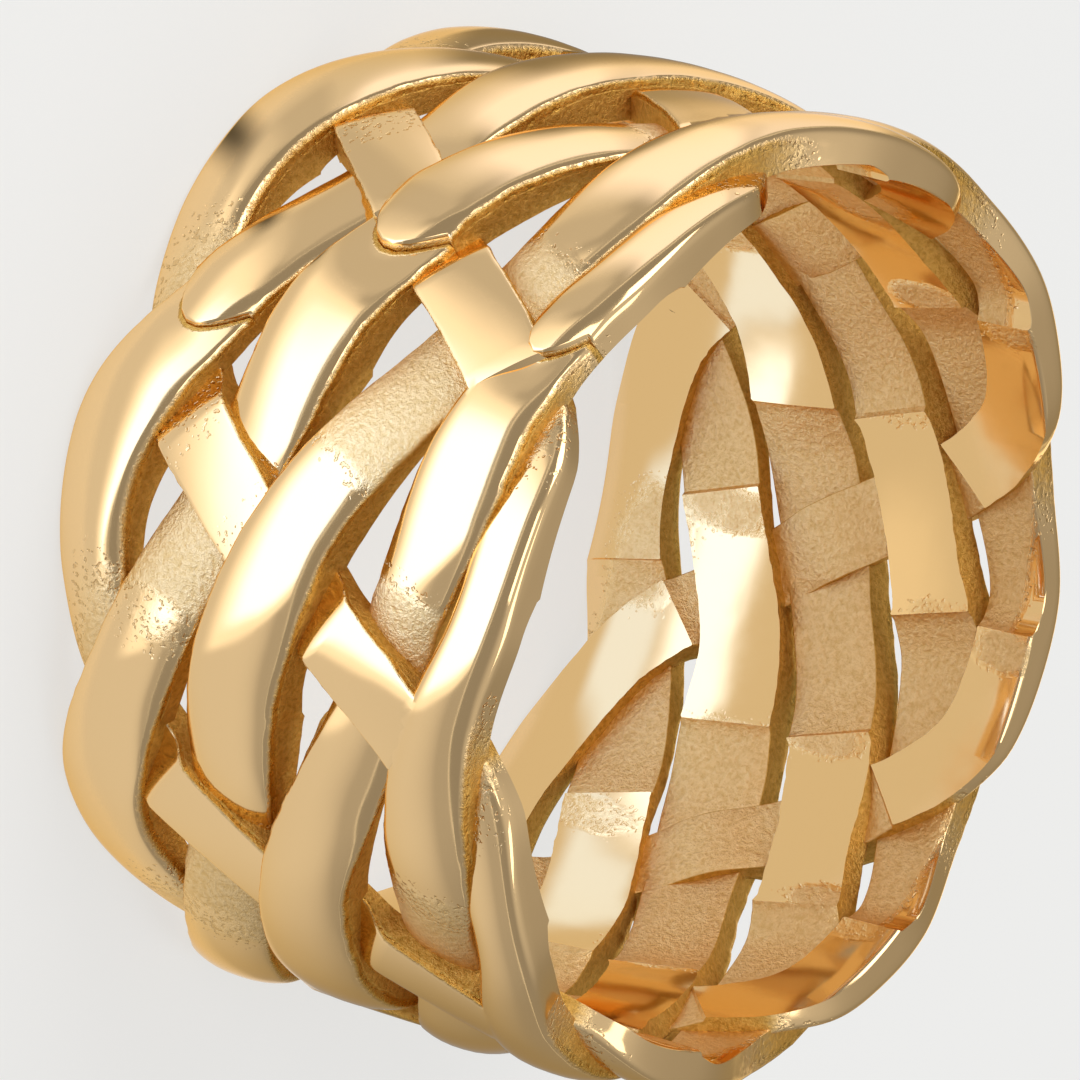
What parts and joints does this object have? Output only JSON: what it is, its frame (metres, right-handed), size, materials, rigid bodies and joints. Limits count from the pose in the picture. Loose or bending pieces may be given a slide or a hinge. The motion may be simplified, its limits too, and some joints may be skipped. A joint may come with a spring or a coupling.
{
  "type": "woven ring",
  "caption": "Wide openwork finger ring of flat ribbon strands plaited over and under round the band, cast as one piece of polished yellow gold.",
  "frame": {"origin": "on the axis of the finger hole, at the level of the lower rim on which the ring lies", "axes": "+Z along the axis of the finger hole, up from the lower rim; +X faces the picture's viewer"},
  "size_m": [0.021, 0.021, 0.0116],
  "materials": {
    "gold": "polished"
  },
  "bodies": {
    "root": {"woven_band": "gold"}
  },
  "joints": []
}
